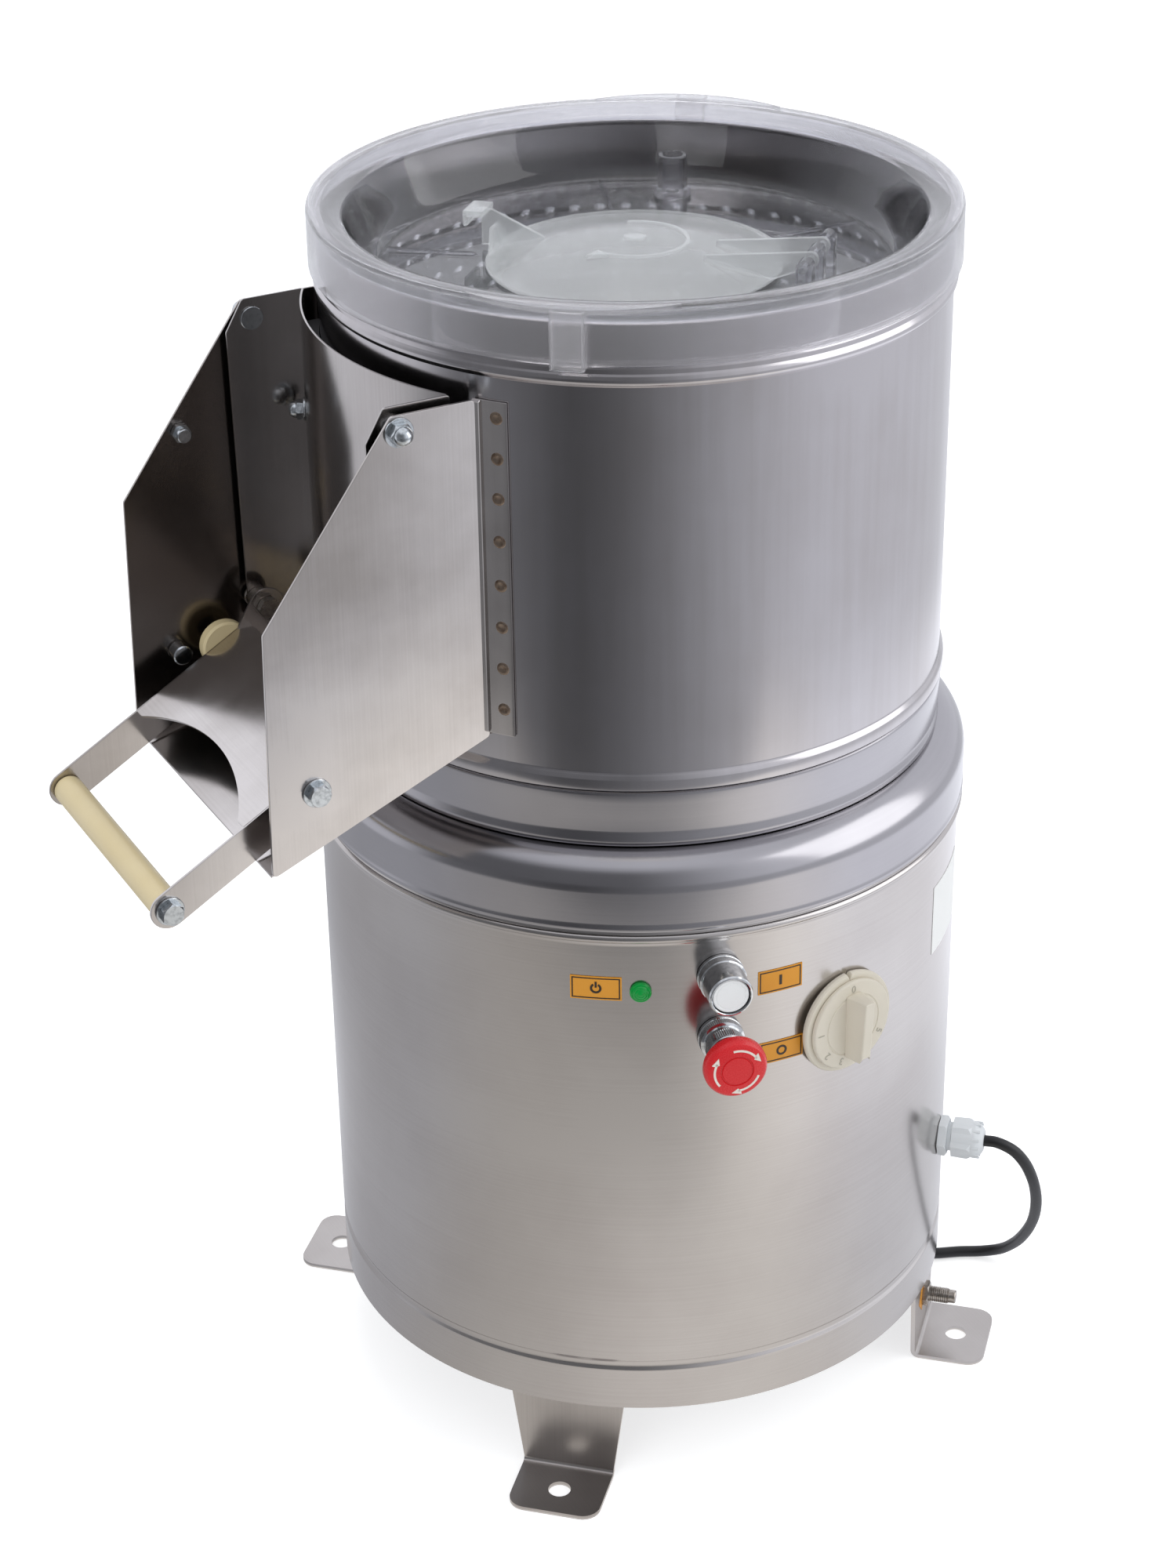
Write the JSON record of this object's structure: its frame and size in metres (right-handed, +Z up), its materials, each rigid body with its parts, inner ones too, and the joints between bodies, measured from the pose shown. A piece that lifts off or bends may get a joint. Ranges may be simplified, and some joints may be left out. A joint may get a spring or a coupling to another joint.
{
  "type": "electric potato peeler",
  "caption": "Floor-standing electric potato peeler: steel drum with abrasive disc, clear lid with hinged hatch, discharge chute with lever door, motor base with controls.",
  "frame": {"origin": "centre of the machine's footprint, without the cord, on the floor", "axes": "+Z up, the discharge chute points along -X, the controls face -Y"},
  "size_m": [0.6264, 0.6005, 0.824],
  "materials": {
    "steel": "brushed stainless steel sheet",
    "polished": "polished stainless steel",
    "zinc": "bright plated steel",
    "cast_grey": "grey painted casting",
    "abrasive": "cast disc coated with abrasive grit",
    "clear_plastic": "clear moulded plastic",
    "milk_plastic": "translucent white moulded plastic",
    "cream_plastic": "satin cream plastic",
    "grey_plastic": "satin light grey plastic",
    "white_plastic": "satin white plastic",
    "red_plastic": "glossy red plastic",
    "green_plastic": "glossy green lens",
    "black_rubber": "matt black rubber"
  },
  "bodies": {
    "base": {"foot_1": "steel", "foot_2": "steel", "foot_3": "steel", "foot_4": "steel", "base_shell": "steel", "base_plate": "steel", "motor_deck": "steel", "shoulder_cover": "steel", "neck_ring": "steel", "drum_pan": "steel", "drum_shell": "steel", "drum_liner": "polished", "door_seal": "black_rubber", "chute_side_front": "steel", "chute_side_rear": "steel", "chute_floor": "steel", "door_hinge_pin_front": "zinc", "latch_pin_front": "zinc", "door_hinge_pin_rear": "zinc", "latch_pin_rear": "zinc", "motor_body": "cast_grey", "drive_belt": "black_rubber", "bearing_lower": "polished", "bearing_upper": "polished", "bearing_housing": "cast_grey", "shaft_seal": "black_rubber", "drain_spout": "steel", "pilot_lamp": "green_plastic", "start_bezel": "polished", "stop_collar": "polished", "switch_plate": "grey_plastic", "switch_body": "cast_grey", "gland_body": "grey_plastic", "gland_nut": "grey_plastic", "earth_stud": "zinc", "earth_nut": "zinc", "cord_lead": "black_rubber", "cord_coil": "black_rubber", "cord_tail": "black_rubber", "plug": "black_rubber"},
    "disc_unit": {"abrasive_disc": "abrasive", "disc_nut": "zinc", "drive_shaft": "zinc", "driven_pulley": "cast_grey"},
    "motor_pulley": {"motor_pulley": "cast_grey"},
    "door": {"door": "steel", "lever_pivot_front": "zinc", "lever_pivot_rear": "zinc"},
    "lever": {"lever_tray": "steel", "handle_bolt": "zinc"},
    "handle_grip": {"handle_grip": "cream_plastic"},
    "roller_front": {"roller_front": "cream_plastic"},
    "roller_rear": {"roller_rear": "cream_plastic"},
    "lid": {"lid_shell": "clear_plastic", "hatch_pin": "clear_plastic"},
    "hatch": {"hatch": "milk_plastic"},
    "start_button": {"start_button": "white_plastic"},
    "stop_stem": {"stop_stem": "zinc"},
    "stop_head": {"stop_head": "red_plastic"},
    "switch_knob": {"switch_knob": "grey_plastic"}
  },
  "joints": [
    {"name": "disc_spin", "type": "hinge", "parent": "base", "child": "disc_unit", "pos_m": [0.0812, 0.00426, 0.526], "axis": [0, 0, 1], "continuous": true},
    {"name": "motor_spin", "type": "hinge", "parent": "base", "child": "motor_pulley", "pos_m": [0.2162, 0.00426, 0.334], "axis": [0, 0, 1], "continuous": true},
    {"name": "door_swing", "type": "hinge", "parent": "base", "child": "door", "pos_m": [-0.1323, 0.00426, 0.75], "axis": [0, 1, 0], "range_deg": [0, 20]},
    {"name": "lever_lift", "type": "hinge", "parent": "door", "child": "lever", "pos_m": [-0.1408, 0.00426, 0.563], "axis": [0, 1, 0], "range_deg": [0, 45]},
    {"name": "handle_spin", "type": "hinge", "parent": "lever", "child": "handle_grip", "pos_m": [-0.28329, 0.00426, 0.46825], "axis": [0, 1, 0], "continuous": true},
    {"name": "roller_front_spin", "type": "hinge", "parent": "lever", "child": "roller_front", "pos_m": [-0.16879, -0.08874, 0.5402], "axis": [0, 1, 0], "continuous": true},
    {"name": "roller_rear_spin", "type": "hinge", "parent": "lever", "child": "roller_rear", "pos_m": [-0.16879, 0.09726, 0.5402], "axis": [0, 1, 0], "continuous": true},
    {"name": "lid_lift", "type": "slide", "parent": "base", "child": "lid", "axis": [0, 0, 1], "range_m": [0, 0.15]},
    {"name": "hatch_hinge", "type": "hinge", "parent": "lid", "child": "hatch", "pos_m": [0.16125, -0.07691, 0.7963], "axis": [0.712, 0.7022, 0], "range_deg": [0, 100]},
    {"name": "start_push", "type": "slide", "parent": "base", "child": "start_button", "axis": [0.2588, 0.9659, 0], "range_m": [0, 0.003], "stiffness_N_per_m": 600, "springref_m": -0.002},
    {"name": "stop_push", "type": "slide", "parent": "base", "child": "stop_stem", "axis": [0.2588, 0.9659, 0], "range_m": [0, 0.005], "stiffness_N_per_m": 1200, "springref_m": -0.002},
    {"name": "stop_twist", "type": "hinge", "parent": "stop_stem", "child": "stop_head", "pos_m": [0.01909, -0.22756, 0.349], "axis": [0.2588, 0.9659, 0], "range_deg": [0, 30], "stiffness_Nm_per_rad": 0.4, "springref_deg": -5.73},
    {"name": "timer_turn", "type": "hinge", "parent": "base", "child": "switch_knob", "pos_m": [0.11562, -0.21303, 0.337], "axis": [-0.1564, 0.9877, 0], "range_deg": [0, 270]}
  ],
  "couplings": [
    {"joint": "motor_spin", "follows": "disc_spin", "ratio": 3.8636}
  ]
}
